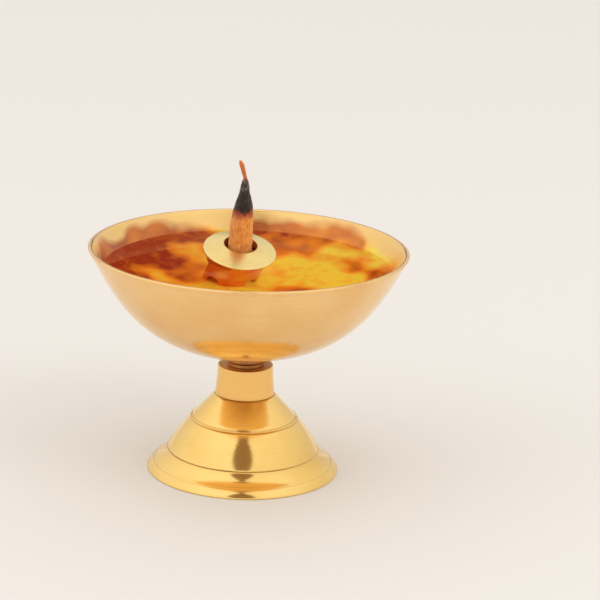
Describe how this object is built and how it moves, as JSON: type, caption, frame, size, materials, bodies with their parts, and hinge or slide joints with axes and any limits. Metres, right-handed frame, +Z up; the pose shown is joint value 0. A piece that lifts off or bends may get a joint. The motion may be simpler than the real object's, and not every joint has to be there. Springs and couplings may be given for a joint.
{
  "type": "oil lamp",
  "caption": "Round brass oil lamp: an open bowl of oil screwed onto a hollow flared foot, with a loose collared wick holder and a burnt cotton wick.",
  "frame": {"origin": "on the table, under the middle of the foot", "axes": "+Z up, -Y towards the front, as the lamp is seen from the front"},
  "size_m": [0.07, 0.07, 0.0702],
  "materials": {
    "foot_brass": "turned and polished",
    "stud_brass": "cut thread, unpolished",
    "bowl_brass": "spun and polished",
    "holder_brass": "turned, oily",
    "cotton": "soaked with oil, charred at the tip",
    "lamp_oil": "clear amber liquid"
  },
  "bodies": {
    "base": {"pedestal": "foot_brass"},
    "stud": {"joining_stud": "stud_brass"},
    "bowl": {"bowl": "bowl_brass", "oil": "lamp_oil"},
    "wick_holder": {"wick_holder": "holder_brass"},
    "wick": {"wick": "cotton"}
  },
  "joints": [
    {"name": "bowl_turn", "type": "hinge", "parent": "base", "child": "stud", "pos_m": [0, 0, 0.0241], "axis": [0, 0, 1], "range_deg": [0, 1620]},
    {"name": "bowl_rise", "type": "slide", "parent": "stud", "child": "bowl", "axis": [0, 0, 1], "range_m": [0, 0.00451]},
    {"name": "holder_lift", "type": "slide", "parent": "bowl", "child": "wick_holder", "axis": [0, 0, 1], "range_m": [0, 0.03], "deforming": ["oil"]},
    {"name": "wick_slide", "type": "slide", "parent": "wick_holder", "child": "wick", "axis": [0.1045, -0.2741, 0.956], "range_m": [0, 0.015]}
  ],
  "couplings": [
    {"joint": "bowl_rise", "follows": "bowl_turn", "m_per_rad": 0.00015915}
  ]
}
